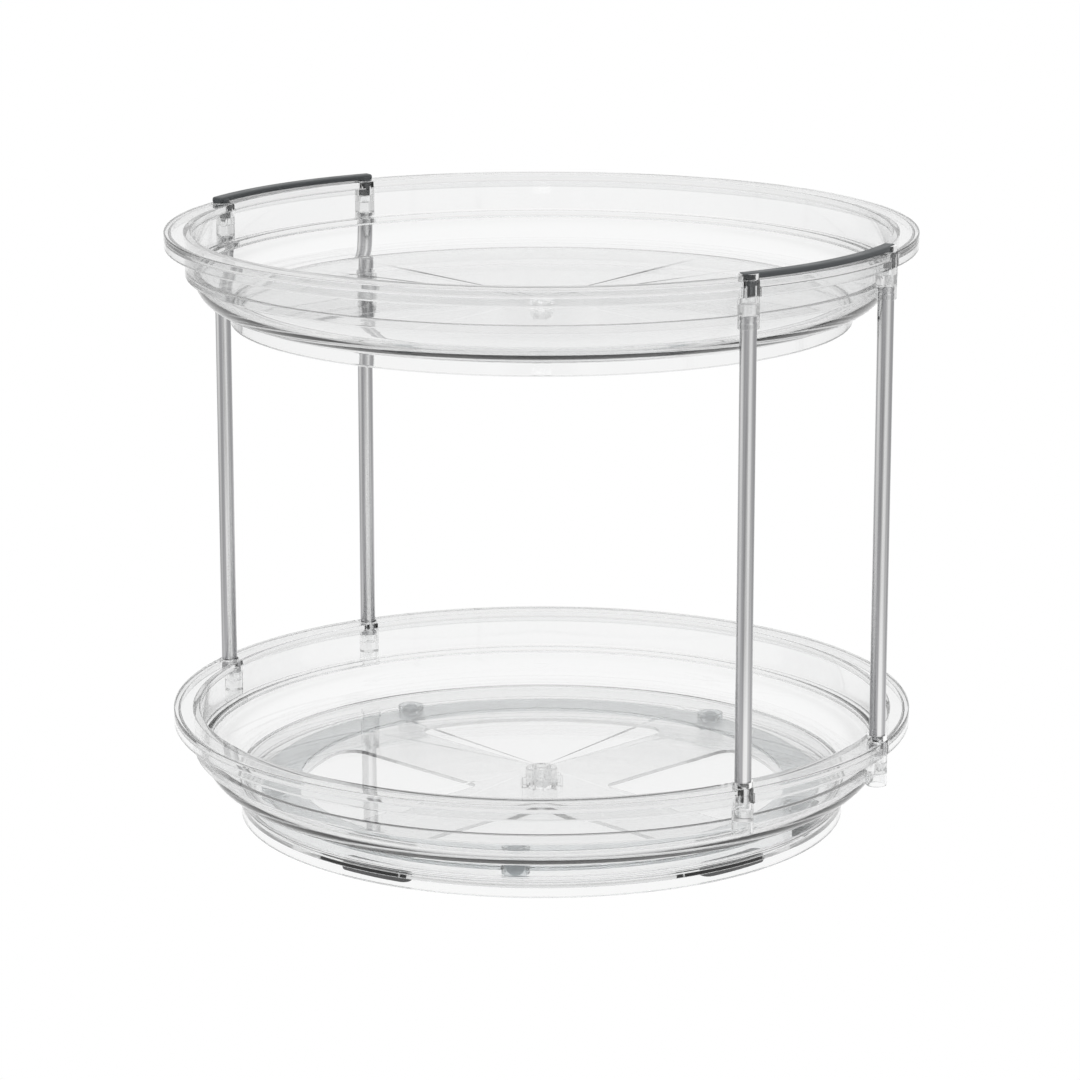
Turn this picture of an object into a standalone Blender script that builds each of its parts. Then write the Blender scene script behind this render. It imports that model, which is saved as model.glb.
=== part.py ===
"""Two-tier clear turntable: two round trays on four steel rods, spinning on a ball bearing over a base disc.

Units are metres and +Z is up. The origin is on the spin axis, in the plane of the base rim and its feet.
"""

import math

import bmesh
import bpy

# Driving dimensions of the whole object.
BRIM_RADIUS = 0.140
LOWER_BRIM_Z = 0.0424
TIER_SPACING = 0.182
SEAT_GAP = 0.0003
ROUND_STEPS = 60
SMALL_STEPS = 20

# Tray moulding. Heights are counted from the top of its brim.
BRIM_THICKNESS = 0.0028
BRIM_EDGE_ROUND = 0.0005
LIP_DEPTH = 0.0060
LIP_THICKNESS = 0.0022
TRAY_WALL = 0.0023
UPPER_WALL_RADIUS = 0.1324
LOWER_WALL_RADIUS = 0.1291
STEP_TOP = -0.0140
STEP_UNDER = -0.0168
BOWL_TOP = -0.0172
FLOOR_TOP = -0.0266
FLOOR_UNDER = -0.0298
FLOOR_FLAT_RADIUS = 0.112
SKIRT_OUTER_RADIUS = 0.1160
SKIRT_THICKNESS = 0.0026
SKIRT_BOTTOM = -0.0345

# Rods, and the sockets under the brim that hold them and the grips' pegs.
ROD_CIRCLE_RADIUS = 0.1362
ROD_HALF_SPREAD = math.radians(16.8)
ROD_RADIUS = 0.0030
ROD_TOP_INSET = 0.0127
ROD_BOTTOM_INSET = 0.0055
SOCKET_RADIUS = 0.0039
SOCKET_TOP = -0.0010
SOCKET_BOTTOM = -0.0174
POCKET_RADIUS = 0.0033
TOP_POCKET_DEPTH = 0.0058
NARROW_POCKET_RADIUS = 0.0026
NARROW_POCKET_DEPTH = 0.0087
BOTTOM_POCKET_TOP = -0.0124

# Grips on the upper brim.
GRIP_WIDTH = 0.0046
GRIP_HEIGHT = 0.0020
GRIP_OVERHANG = 0.0030
PEG_RADIUS = 0.0023
PEG_DEPTH = 0.0062

# Base disc.
BASE_TURN = math.radians(-3.35)
BASE_RADIUS = 0.1151
BASE_RIM_THICKNESS = 0.0021
BASE_RIM_TOP = 0.0074
BASE_RIM_BOTTOM = 0.0
PLATE_TOP = 0.0050
PLATE_UNDER = 0.0037
RACE_RIB_RADIUS = 0.1112
RACE_RIB_THICKNESS = 0.0012
RACE_RIB_TOP = 0.0064
WINDOW_RADIUS = 0.0925
SPOKE_HALF_WIDTH = 0.0170
WINDOW_APEX_ROUND = 0.0035
WINDOW_CORNER_ROUND = 0.0080

# Snap hub: the tray's barbed fingers hold under a ledge inside the base's collar.
COLLAR_RADIUS = 0.0060
COLLAR_TOP = 0.0122
LEDGE_UNDER = 0.0089
LEDGE_BORE = 0.0041
COLLAR_BORE = 0.0055
GUSSET_COUNT = 10
GUSSET_RADIUS = 0.0083
GUSSET_TOP = 0.0090
GUSSET_THICKNESS = 0.0011
FINGER_RADIUS = 0.0037
FINGER_BORE = 0.0020
FINGER_SLOT = 0.0012
BARB_RADIUS = 0.0049
BARB_TIP_RADIUS = 0.0034
BARB_TOP = -0.0339
BARB_BOTTOM = -0.0374

# Ball bearing between the base and the lower tray.
BALL_COUNT = 5
BALL_PHASE = math.radians(90.5)
BALL_CIRCLE_RADIUS = 0.1032
BALL_RADIUS = 0.0035
BALL_Z = 0.0088
CAGE_INNER_RADIUS = 0.0925
CAGE_OUTER_RADIUS = 0.1065
CAGE_UNDER = 0.0080
CAGE_TOP = 0.0094
CUP_RADIUS = 0.0051
CUP_BORE = 0.0041
CUP_UNDER = 0.0062
CUP_TOP = 0.0118

# Three non-slip pads, flush with the rim that carries the base all round.
FOOT_ANGLES = [math.radians(a) for a in (277.0, -7.0, 24.0)]
FOOT_CIRCLE_RADIUS = 0.1050
FOOT_HALF_WIDTH = 0.0030
FOOT_HALF_SPREAD = math.radians(6.5)
FOOT_HEIGHT = 0.0034

# Colour, roughness, metallic and transmission of each finish.
FINISHES = {
    "clear_plastic": ((0.90, 0.93, 0.93, 1.0), 0.03, 0.0, 1.0),
    "polished_steel": ((0.62, 0.62, 0.62, 1.0), 0.22, 1.0, 0.0),
    "grip_plastic": ((0.075, 0.082, 0.086, 1.0), 0.50, 0.0, 0.0),
    "cage_plastic": ((0.74, 0.78, 0.79, 1.0), 0.40, 0.0, 0.3),
    "ball_plastic": ((0.60, 0.64, 0.67, 1.0), 0.30, 0.0, 0.0),
    "foot_rubber": ((0.012, 0.012, 0.013, 1.0), 0.70, 0.0, 0.0),
}


def arc(centre_x, centre_y, radius, start, end, steps):
    """Points on an arc, both ends included. Angles are in degrees."""
    return [
        (
            centre_x + radius * math.cos(math.radians(start + (end - start) * i / steps)),
            centre_y + radius * math.sin(math.radians(start + (end - start) * i / steps)),
        )
        for i in range(steps + 1)
    ]


def on_circle(radius, angle, z=0.0):
    return (radius * math.cos(angle), radius * math.sin(angle), z)


def clear_scene():
    for obj in list(bpy.data.objects):
        bpy.data.objects.remove(obj, do_unlink=True)


def new_collection(name):
    collection = bpy.data.collections.new(name)
    bpy.context.scene.collection.children.link(collection)
    return collection


def finish(name):
    """The material of that name, made the first time that it is asked for."""
    found = bpy.data.materials.get(name)
    if found:
        return found
    color, roughness, metallic, transmission = FINISHES[name]
    made = bpy.data.materials.new(name)
    made.use_nodes = True
    made.diffuse_color = color
    shader = made.node_tree.nodes["Principled BSDF"]
    shader.inputs["Base Color"].default_value = color
    shader.inputs["Roughness"].default_value = roughness
    shader.inputs["Metallic"].default_value = metallic
    shader.inputs["Transmission Weight"].default_value = transmission
    return made


def object_of(shape, name, collection):
    """An object with the mesh that a bmesh holds."""
    bmesh.ops.recalc_face_normals(shape, faces=shape.faces[:])
    mesh = bpy.data.meshes.new(name)
    shape.to_mesh(mesh)
    shape.free()
    obj = bpy.data.objects.new(name, mesh)
    collection.objects.link(obj)
    return obj


def turned(name, profile, collection, closed=False, steps=ROUND_STEPS):
    """A solid turned about Z from (radius, height) points that run over its top and down its outer side."""
    shape = bmesh.new()
    corners = [shape.verts.new((radius, 0.0, z)) for radius, z in profile]
    for start, end in zip(corners, corners[1:] + corners[: 1 if closed else 0]):
        shape.edges.new((start, end))
    obj = object_of(shape, name, collection)
    turn = obj.modifiers.new("Turn", "SCREW")
    turn.steps = turn.render_steps = steps
    turn.use_merge_vertices = True
    turn.merge_threshold = 0.00001
    return obj


def blocks(name, sizes, centres, angles, collection):
    """Boxes that all have one size, each turned about Z and then put in its place."""
    shape = bmesh.new()
    for centre, angle in zip(centres, angles):
        corners = bmesh.ops.create_cube(shape, size=1.0)["verts"]
        bmesh.ops.scale(shape, vec=sizes, verts=corners)
        turn = ((math.cos(angle), -math.sin(angle), 0), (math.sin(angle), math.cos(angle), 0), (0, 0, 1))
        for corner in corners:
            corner.co = [sum(a * b for a, b in zip(row, corner.co)) for row in turn]
        bmesh.ops.translate(shape, vec=centre, verts=corners)
    return object_of(shape, name, collection)


def posts(name, radius, low, high, places, collection, steps=SMALL_STEPS):
    """Upright cylinders of one size at the given (x, y) places."""
    shape = bmesh.new()
    for x, y in places:
        ends = bmesh.ops.create_cone(
            shape, cap_ends=True, segments=steps, radius1=radius, radius2=radius, depth=high - low
        )
        bmesh.ops.translate(shape, vec=(x, y, (low + high) / 2), verts=ends["verts"])
    return object_of(shape, name, collection)


def slab(name, outline, low, high, collection):
    """A flat outline of (x, y) points, extruded from one height to another, as a mesh."""
    curve = bpy.data.curves.new(name, "CURVE")
    curve.dimensions = "2D"
    curve.fill_mode = "BOTH"
    curve.extrude = (high - low) / 2
    spline = curve.splines.new("POLY")
    spline.points.add(len(outline) - 1)
    for point, (x, y) in zip(spline.points, outline):
        point.co = (x, y, 0.0, 1.0)
    spline.use_cyclic_u = True
    guide = bpy.data.objects.new(name + "_outline", curve)
    guide.location.z = (low + high) / 2
    collection.objects.link(guide)
    bpy.context.view_layer.update()
    graph = bpy.context.evaluated_depsgraph_get()
    mesh = bpy.data.meshes.new_from_object(guide.evaluated_get(graph))
    mesh.transform(guide.matrix_world)
    bpy.data.objects.remove(guide, do_unlink=True)
    shape = bmesh.new()
    shape.from_mesh(mesh)
    bmesh.ops.remove_doubles(shape, verts=shape.verts[:], dist=0.00001)
    bpy.data.meshes.remove(mesh)
    return object_of(shape, name, collection)


def combine(obj, other, operation):
    """Adds a Boolean modifier. The other object is only a tool, so it isn't drawn as part of the object."""
    step = obj.modifiers.new(other.name, "BOOLEAN")
    step.object = other
    step.operation = operation
    step.solver = "EXACT"
    other.hide_render = True
    other.display_type = "WIRE"


def settled(obj):
    """The object's mesh with its modifiers applied and its edges shaded."""
    bpy.context.view_layer.update()
    graph = bpy.context.evaluated_depsgraph_get()
    mesh = bpy.data.meshes.new_from_object(obj.evaluated_get(graph))
    mesh.shade_smooth()
    mesh.set_sharp_from_angle(angle=math.radians(35))
    return mesh


def place(name, mesh, material, collection, parent=None, location=(0, 0, 0), angle=0.0):
    """A finished piece, made from a settled mesh."""
    obj = bpy.data.objects.new(name, mesh)
    if not mesh.materials:
        mesh.materials.append(finish(material))
    obj.location = location
    obj.rotation_euler.z = angle
    obj.parent = parent
    collection.objects.link(obj)
    return obj


def rod_angles():
    """The four rods' angles by name: a pair behind each grip."""
    return {
        "right_front": -ROD_HALF_SPREAD,
        "right_rear": ROD_HALF_SPREAD,
        "left_rear": math.pi - ROD_HALF_SPREAD,
        "left_front": math.pi + ROD_HALF_SPREAD,
    }


def tray_profile():
    """Over the floor, up the bowl and the stepped wall, round the brim, and back down outside."""
    inner_lower = LOWER_WALL_RADIUS - TRAY_WALL
    inner_upper = UPPER_WALL_RADIUS - TRAY_WALL
    edge = BRIM_EDGE_ROUND
    lip_inner = BRIM_RADIUS - LIP_THICKNESS

    def bowl(across, height, floor, angle):
        turn = math.radians(angle)
        return (FLOOR_FLAT_RADIUS + across * math.sin(turn), floor + height * (1 - math.cos(turn)))

    inner = [
        bowl(inner_lower - FLOOR_FLAT_RADIUS, BOWL_TOP - FLOOR_TOP, FLOOR_TOP, a) for a in range(0, 91, 18)
    ]
    outer_across = LOWER_WALL_RADIUS - FLOOR_FLAT_RADIUS
    skirt_angle = math.degrees(math.asin((SKIRT_OUTER_RADIUS - FLOOR_FLAT_RADIUS) / outer_across))
    outer = [
        bowl(outer_across, BOWL_TOP - FLOOR_UNDER, FLOOR_UNDER, 90 - (90 - skirt_angle) * i / 5)
        for i in range(6)
    ]
    skirt_inner = SKIRT_OUTER_RADIUS - SKIRT_THICKNESS
    return (
        [(0.0, FLOOR_TOP)]
        + inner
        + [(inner_lower, STEP_TOP), (inner_upper, STEP_TOP)]
        + arc(inner_upper + edge, -edge, edge, 180, 90, 2)
        + arc(BRIM_RADIUS - edge, -edge, edge, 90, 0, 3)
        + [(BRIM_RADIUS, -LIP_DEPTH), (lip_inner, -LIP_DEPTH), (lip_inner, -BRIM_THICKNESS)]
        + [(UPPER_WALL_RADIUS, -BRIM_THICKNESS), (UPPER_WALL_RADIUS, STEP_UNDER)]
        + [(LOWER_WALL_RADIUS, STEP_UNDER)]
        + outer
        + [(SKIRT_OUTER_RADIUS, SKIRT_BOTTOM), (skirt_inner, SKIRT_BOTTOM), (skirt_inner, FLOOR_UNDER)]
        + [(0.0, FLOOR_UNDER)]
    )


def snap_fingers(tools):
    """Four barbed fingers under the middle of the floor: a barbed tube with a cross sawn out of it."""
    buried = FLOOR_UNDER + 0.0010
    profile = [
        (FINGER_BORE, buried),
        (FINGER_RADIUS, buried),
        (FINGER_RADIUS, BARB_TOP),
        (BARB_RADIUS, BARB_TOP),
        (BARB_TIP_RADIUS, BARB_BOTTOM),
        (FINGER_BORE, BARB_BOTTOM),
    ]
    fingers = turned("snap_fingers", profile, tools, closed=True, steps=24)
    saw_height = 0.020
    saw_z = FLOOR_UNDER - 0.0004 - saw_height / 2
    saw = blocks("finger_saw", (0.02, FINGER_SLOT, saw_height), [(0, 0, saw_z)], [0.0], tools)
    cross_saw = blocks("finger_cross_saw", (FINGER_SLOT, 0.02, saw_height), [(0, 0, saw_z)], [0.0], tools)
    combine(fingers, saw, "DIFFERENCE")
    combine(fingers, cross_saw, "DIFFERENCE")
    return fingers


def tray_mesh(tools):
    """The moulding that both tiers use: dish, brim, four sockets and the snap fingers."""
    dish = turned("tray_dish", tray_profile(), tools)
    holes = [on_circle(ROD_CIRCLE_RADIUS, a)[:2] for a in rod_angles().values()]
    sockets = posts("sockets", SOCKET_RADIUS, SOCKET_BOTTOM, SOCKET_TOP, holes, tools)
    top_pockets = posts("top_pockets", POCKET_RADIUS, -TOP_POCKET_DEPTH, 0.002, holes, tools)
    narrow_pockets = posts("narrow_pockets", NARROW_POCKET_RADIUS, -NARROW_POCKET_DEPTH, 0.001, holes, tools)
    low_pockets = posts("low_pockets", POCKET_RADIUS, SOCKET_BOTTOM - 0.002, BOTTOM_POCKET_TOP, holes, tools)
    combine(dish, sockets, "UNION")
    combine(dish, snap_fingers(tools), "UNION")
    combine(dish, top_pockets, "DIFFERENCE")
    combine(dish, narrow_pockets, "DIFFERENCE")
    combine(dish, low_pockets, "DIFFERENCE")
    mesh = settled(dish)
    dish.hide_render = True
    dish.display_type = "WIRE"
    return mesh


def rod_mesh(tools):
    """One rod along Z, centred on its own origin, with its ends' edges taken off."""
    length = TIER_SPACING - ROD_TOP_INSET + ROD_BOTTOM_INSET
    rod = posts("rod_blank", ROD_RADIUS, -length / 2, length / 2, [(0, 0)], tools)
    edges = rod.modifiers.new("Edges", "BEVEL")
    edges.width = 0.0004
    edges.segments = 1
    edges.limit_method = "ANGLE"
    mesh = settled(rod)
    rod.hide_render = True
    rod.display_type = "WIRE"
    return mesh


def grip_mesh(tools):
    """The grip at +X: a bar that follows the brim, and a peg at each end. Heights are from the brim's top."""
    inner = ROD_CIRCLE_RADIUS - GRIP_WIDTH / 2
    outer = ROD_CIRCLE_RADIUS + GRIP_WIDTH / 2
    reach = math.degrees(ROD_HALF_SPREAD + GRIP_OVERHANG / ROD_CIRCLE_RADIUS)
    outline = arc(0, 0, outer, -reach, reach, 12) + arc(0, 0, inner, reach, -reach, 12)
    bar = slab("grip_bar", outline, SEAT_GAP, SEAT_GAP + GRIP_HEIGHT, tools)
    holes = [on_circle(ROD_CIRCLE_RADIUS, side * ROD_HALF_SPREAD)[:2] for side in (-1, 1)]
    buried = SEAT_GAP + GRIP_HEIGHT / 2
    pegs = posts("grip_pegs", PEG_RADIUS, -PEG_DEPTH, buried, holes, tools, steps=16)
    combine(bar, pegs, "UNION")
    edges = bar.modifiers.new("Edges", "BEVEL")
    edges.width = 0.0004
    edges.segments = 1
    edges.limit_method = "ANGLE"
    edges.angle_limit = math.radians(50)
    mesh = settled(bar)
    bar.hide_render = True
    bar.display_type = "WIRE"
    return mesh


def window_outline():
    """One quarter's window: straight sides along two spokes, a round outer side and three rounded corners."""
    apex = SPOKE_HALF_WIDTH + WINDOW_APEX_ROUND
    corner_y = SPOKE_HALF_WIDTH + WINDOW_CORNER_ROUND
    corner_x = math.sqrt((WINDOW_RADIUS - WINDOW_CORNER_ROUND) ** 2 - corner_y**2)
    lean = math.degrees(math.atan2(corner_y, corner_x))
    return (
        arc(apex, apex, WINDOW_APEX_ROUND, 180, 270, 3)
        + arc(corner_x, corner_y, WINDOW_CORNER_ROUND, -90, lean, 5)
        + arc(0, 0, WINDOW_RADIUS, lean, 90 - lean, 10)[1:-1]
        + arc(corner_y, corner_x, WINDOW_CORNER_ROUND, 90 - lean, 180, 5)
    )


def base_mesh(tools):
    """The base disc: plate, rim, race rib, spokes between four windows, and the gusseted hub collar."""
    rim_inner = BASE_RADIUS - BASE_RIM_THICKNESS
    rib_inner = RACE_RIB_RADIUS - RACE_RIB_THICKNESS
    profile = [
        (LEDGE_BORE, COLLAR_TOP),
        (COLLAR_RADIUS, COLLAR_TOP),
        (COLLAR_RADIUS, PLATE_TOP),
        (rib_inner, PLATE_TOP),
        (rib_inner, RACE_RIB_TOP),
        (RACE_RIB_RADIUS, RACE_RIB_TOP),
        (RACE_RIB_RADIUS, PLATE_TOP),
        (rim_inner, PLATE_TOP),
        (rim_inner, BASE_RIM_TOP),
        (BASE_RADIUS, BASE_RIM_TOP),
        (BASE_RADIUS, BASE_RIM_BOTTOM),
        (rim_inner, BASE_RIM_BOTTOM),
        (rim_inner, PLATE_UNDER),
        (COLLAR_BORE, PLATE_UNDER),
        (COLLAR_BORE, LEDGE_UNDER),
        (LEDGE_BORE, LEDGE_UNDER),
    ]
    disc = turned("base_disc", profile, tools, closed=True)
    angles = [2 * math.pi * i / GUSSET_COUNT for i in range(GUSSET_COUNT)]
    buried_radius = (COLLAR_RADIUS + COLLAR_BORE) / 2
    buried_z = (PLATE_TOP + PLATE_UNDER) / 2
    sizes = (GUSSET_RADIUS - buried_radius, GUSSET_THICKNESS, GUSSET_TOP - buried_z)
    middle_radius = (GUSSET_RADIUS + buried_radius) / 2
    centres = [on_circle(middle_radius, a, (GUSSET_TOP + buried_z) / 2) for a in angles]
    combine(disc, blocks("hub_gussets", sizes, centres, angles, tools), "UNION")
    for quarter in range(4):
        window = slab(f"base_window_{quarter + 1}", window_outline(), -0.001, 0.010, tools)
        window.rotation_euler.z = quarter * math.pi / 2
        combine(disc, window, "DIFFERENCE")
    mesh = settled(disc)
    disc.hide_render = True
    disc.display_type = "WIRE"
    return mesh


def cage_mesh(tools):
    """The bearing's flat ring with an open cup round each ball."""
    profile = [
        (CAGE_INNER_RADIUS, CAGE_TOP),
        (CAGE_OUTER_RADIUS, CAGE_TOP),
        (CAGE_OUTER_RADIUS, CAGE_UNDER),
        (CAGE_INNER_RADIUS, CAGE_UNDER),
    ]
    ring = turned("cage_ring", profile, tools, closed=True)
    places = [(x, y) for x, y, _ in ball_places()]
    combine(ring, posts("cage_cups", CUP_RADIUS, CUP_UNDER, CUP_TOP, places, tools), "UNION")
    combine(ring, posts("cup_bores", CUP_BORE, 0.0, 0.020, places, tools), "DIFFERENCE")
    mesh = settled(ring)
    ring.hide_render = True
    ring.display_type = "WIRE"
    return mesh


def ball_places():
    step = 2 * math.pi / BALL_COUNT
    return [on_circle(BALL_CIRCLE_RADIUS, BALL_PHASE + i * step, BALL_Z) for i in range(BALL_COUNT)]


def ball_mesh():
    """One ball round its own origin, its poles on the X axis that it rolls about."""
    shape = bmesh.new()
    bmesh.ops.create_uvsphere(shape, u_segments=16, v_segments=10, radius=BALL_RADIUS)
    for corner in shape.verts:
        corner.co = (corner.co.z, corner.co.y, -corner.co.x)
    mesh = bpy.data.meshes.new("ball")
    shape.to_mesh(mesh)
    shape.free()
    mesh.shade_smooth()
    return mesh


def foot_mesh(tools):
    """The foot at angle zero: a curved pad with round ends."""
    spread = math.degrees(FOOT_HALF_SPREAD)
    outer = FOOT_CIRCLE_RADIUS + FOOT_HALF_WIDTH
    inner = FOOT_CIRCLE_RADIUS - FOOT_HALF_WIDTH
    left = on_circle(FOOT_CIRCLE_RADIUS, FOOT_HALF_SPREAD)
    right = on_circle(FOOT_CIRCLE_RADIUS, -FOOT_HALF_SPREAD)
    outline = (
        arc(0, 0, outer, -spread, spread, 4)
        + arc(left[0], left[1], FOOT_HALF_WIDTH, spread, spread + 180, 6)[1:-1]
        + arc(0, 0, inner, spread, -spread, 4)
        + arc(right[0], right[1], FOOT_HALF_WIDTH, 180 - spread, 360 - spread, 6)[1:-1]
    )
    foot = slab("foot_pad", outline, 0.0, FOOT_HEIGHT, tools)
    mesh = settled(foot)
    foot.hide_render = True
    foot.display_type = "WIRE"
    return mesh


def axis_empty(name, parent, collection):
    empty = bpy.data.objects.new(name, None)
    empty.parent = parent
    collection.objects.link(empty)
    return empty


def build_base(parts, tools):
    place("base_disc_plate", base_mesh(tools), "clear_plastic", parts, angle=BASE_TURN)
    mesh = foot_mesh(tools)
    for number, angle in enumerate(FOOT_ANGLES, 1):
        place(f"foot_{number}", mesh, "foot_rubber", parts, angle=angle)


def build_bearing(parts, tools):
    spin = axis_empty("bearing_spin", None, parts)
    place("bearing_cage", cage_mesh(tools), "cage_plastic", parts, parent=spin)
    mesh = ball_mesh()
    for number, centre in enumerate(ball_places(), 1):
        angle = math.atan2(centre[1], centre[0])
        place(f"bearing_ball_{number}", mesh, "ball_plastic", parts, spin, centre, angle)


def build_turntable(parts, tools):
    spin = axis_empty("turntable_spin", None, parts)
    upper_z = LOWER_BRIM_Z + TIER_SPACING
    mesh = tray_mesh(tools)
    place("lower_tray", mesh, "clear_plastic", parts, spin, (0, 0, LOWER_BRIM_Z))
    place("upper_tray", mesh, "clear_plastic", parts, spin, (0, 0, upper_z))
    rod = rod_mesh(tools)
    rod_z = (LOWER_BRIM_Z - ROD_BOTTOM_INSET + upper_z - ROD_TOP_INSET) / 2
    for side, angle in rod_angles().items():
        place(f"rod_{side}", rod, "polished_steel", parts, spin, on_circle(ROD_CIRCLE_RADIUS, angle, rod_z))
    grip = grip_mesh(tools)
    place("grip_right", grip, "grip_plastic", parts, spin, (0, 0, upper_z))
    place("grip_left", grip, "grip_plastic", parts, spin, (0, 0, upper_z), math.pi)


def main():
    clear_scene()
    parts = new_collection("two_tier_turntable")
    tools = new_collection("cutters")
    build_base(parts, tools)
    build_bearing(parts, tools)
    build_turntable(parts, tools)


main()
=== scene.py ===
"""The looks of the two-tier clear turntable: clear mouldings, steel rods, satin grips and the ball bearing.

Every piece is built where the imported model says. Units are metres and +Z is up.
"""

import math

import bmesh
import bpy
from mathutils import Matrix, Vector


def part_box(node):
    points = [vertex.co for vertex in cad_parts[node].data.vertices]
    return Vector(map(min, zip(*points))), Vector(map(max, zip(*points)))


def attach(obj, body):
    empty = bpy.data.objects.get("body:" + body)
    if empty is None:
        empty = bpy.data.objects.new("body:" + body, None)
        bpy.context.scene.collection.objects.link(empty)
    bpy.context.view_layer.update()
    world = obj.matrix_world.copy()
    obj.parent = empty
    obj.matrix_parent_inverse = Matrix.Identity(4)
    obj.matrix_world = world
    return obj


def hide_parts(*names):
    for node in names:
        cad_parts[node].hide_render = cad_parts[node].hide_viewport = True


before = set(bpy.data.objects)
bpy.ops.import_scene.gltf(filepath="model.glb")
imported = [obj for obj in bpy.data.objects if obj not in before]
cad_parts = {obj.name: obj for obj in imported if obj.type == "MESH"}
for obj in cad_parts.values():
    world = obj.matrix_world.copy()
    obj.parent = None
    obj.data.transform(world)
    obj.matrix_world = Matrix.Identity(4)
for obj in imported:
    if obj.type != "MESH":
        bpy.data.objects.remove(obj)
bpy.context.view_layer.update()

# Places that the frame gives.
LOWER_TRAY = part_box("lower_tray")
BRIM_RADIUS = LOWER_TRAY[1].x
LOWER_BRIM_Z = LOWER_TRAY[1].z
UPPER_BRIM_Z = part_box("upper_tray")[1].z
SIDES = ("right_front", "right_rear", "left_rear", "left_front")
RODS = {side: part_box(f"rod_{side}") for side in SIDES}
ROD_RADIUS = (RODS["right_rear"][1].x - RODS["right_rear"][0].x) / 2
ROD_CENTRE = (RODS["right_rear"][0] + RODS["right_rear"][1]) / 2
ROD_CIRCLE_RADIUS = ROD_CENTRE.xy.length
ROD_HALF_SPREAD = math.atan2(ROD_CENTRE.y, ROD_CENTRE.x)
ROD_ANGLES = (-ROD_HALF_SPREAD, ROD_HALF_SPREAD, math.pi - ROD_HALF_SPREAD, math.pi + ROD_HALF_SPREAD)

# Steps round a large and a small turned shape, and how nearly level a face is to be shaded flat.
ROUND_STEPS = 240
SMALL_STEPS = 48
LEVEL = 0.99999

# The most of a side that a rounded corner takes.
CORNER_SHARE = 0.48

# Tray moulding. Heights are counted from the top of its brim.
BRIM_THICKNESS = 0.0028
LIP_DEPTH = 0.0060
LIP_THICKNESS = 0.0022
TRAY_WALL = 0.0023
UPPER_WALL_RADIUS = 0.1324
LOWER_WALL_RADIUS = 0.1291
STEP_TOP = -0.0140
STEP_UNDER = -0.0168
BOWL_TOP = -0.0172
FLOOR_TOP = -0.0266
FLOOR_UNDER = -0.0298
FLOOR_FLAT_RADIUS = 0.112
INNER_BOWL_STEPS = 20
OUTER_BOWL_STEPS = 18
SKIRT_OUTER_RADIUS = 0.1160
SKIRT_THICKNESS = 0.0026
SKIRT_RISE = 0.0029
SKIRT_BOTTOM = LOWER_TRAY[0].z - LOWER_BRIM_Z + SKIRT_RISE

# Sockets under the brim.
SOCKET_RADIUS = 0.0039
SOCKET_TOP = -0.0010
SOCKET_BOTTOM = -0.0174
POCKET_RADIUS = 0.0033
TOP_POCKET_DEPTH = 0.0058
NARROW_POCKET_RADIUS = 0.0026
NARROW_POCKET_DEPTH = 0.0087
BOTTOM_POCKET_TOP = -0.0124
POCKET_LEAD_IN = 0.0004
POCKET_CUT_TOP = 0.0020

# Snap fingers under the middle of each tray.
FINGER_RADIUS = 0.0037
FINGER_BORE = 0.0020
FINGER_SLOT = 0.0012
BARB_RADIUS = 0.0049
BARB_TIP_RADIUS = 0.0034
BARB_TOP = -0.0339
BARB_BOTTOM = -0.0374
FINGER_BURIED = 0.0010
SLOT_CLEARANCE = 0.0004
SAW_SIZE = 0.020

# A shallow groove near each end of a rod.
GROOVE_DEPTH = 0.0002
GROOVE_START = 0.0016
GROOVE_SLOPE = 0.0003
GROOVE_FLAT = 0.0006

# Base disc.
BASE_TURN = math.radians(-3.35)
BASE_RADIUS = 0.1151
BASE_RIM_THICKNESS = 0.0021
BASE_RIM_TOP = 0.0074
BASE_RIM_BOTTOM = 0.0003
PLATE_TOP = 0.0050
PLATE_UNDER = 0.0037
RACE_RIB_RADIUS = 0.1112
RACE_RIB_THICKNESS = 0.0012
RACE_RIB_TOP = 0.0064
WINDOW_RADIUS = 0.0925
SPOKE_HALF_WIDTH = 0.0170
WINDOW_APEX_ROUND = 0.0035
WINDOW_CORNER_ROUND = 0.0080
COLLAR_RADIUS = 0.0060
COLLAR_TOP = 0.0122
LEDGE_UNDER = 0.0089
LEDGE_BORE = 0.0041
COLLAR_BORE = 0.0055
GUSSET_COUNT = 10
GUSSET_RADIUS = 0.0083
GUSSET_TOP = 0.0090
GUSSET_THICKNESS = 0.0011
GUSSET_EDGE_ROUND = 0.0002
WINDOW_CUT = (-0.001, 0.010)

# Bearing.
BALLS = [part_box(f"bearing_ball_{number}") for number in range(1, 6)]
BALL_CENTRES = [(low + high) / 2 for low, high in BALLS]
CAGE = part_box("bearing_cage")
CAGE_INNER_RADIUS = 0.0925
CAGE_OUTER_RADIUS = 0.1065
CAGE_UNDER = 0.0080
CAGE_TOP = 0.0094
CUP_RADIUS = 0.0051
CUP_BORE = 0.0041
CUP_CUT = (0.0, 0.020)
BALL_SEAM = 0.00006
BALL_STEPS = 28
BALL_FLAT_ANGLE = 4

# Grips.
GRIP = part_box("grip_right")
GRIP_WIDTH = 0.0046
GRIP_HEIGHT = 0.0020
GRIP_OVERHANG = 0.0030
GRIP_END_ROUND = 0.0007
GRIP_END_STEPS = 6
GRIP_HALF_STEPS = 30
PEG_RADIUS = 0.0023
PEG_COLLAR_RADIUS = 0.0030
PEG_COLLAR_DEPTH = 0.0022

# Feet.
FEET = [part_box(f"foot_{number}") for number in range(1, 4)]
FOOT_CIRCLE_RADIUS = 0.1050
FOOT_HALF_WIDTH = 0.0030
FOOT_HALF_SPREAD = math.radians(6.5)
FOOT_EDGE_ROUND = 0.0004

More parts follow.
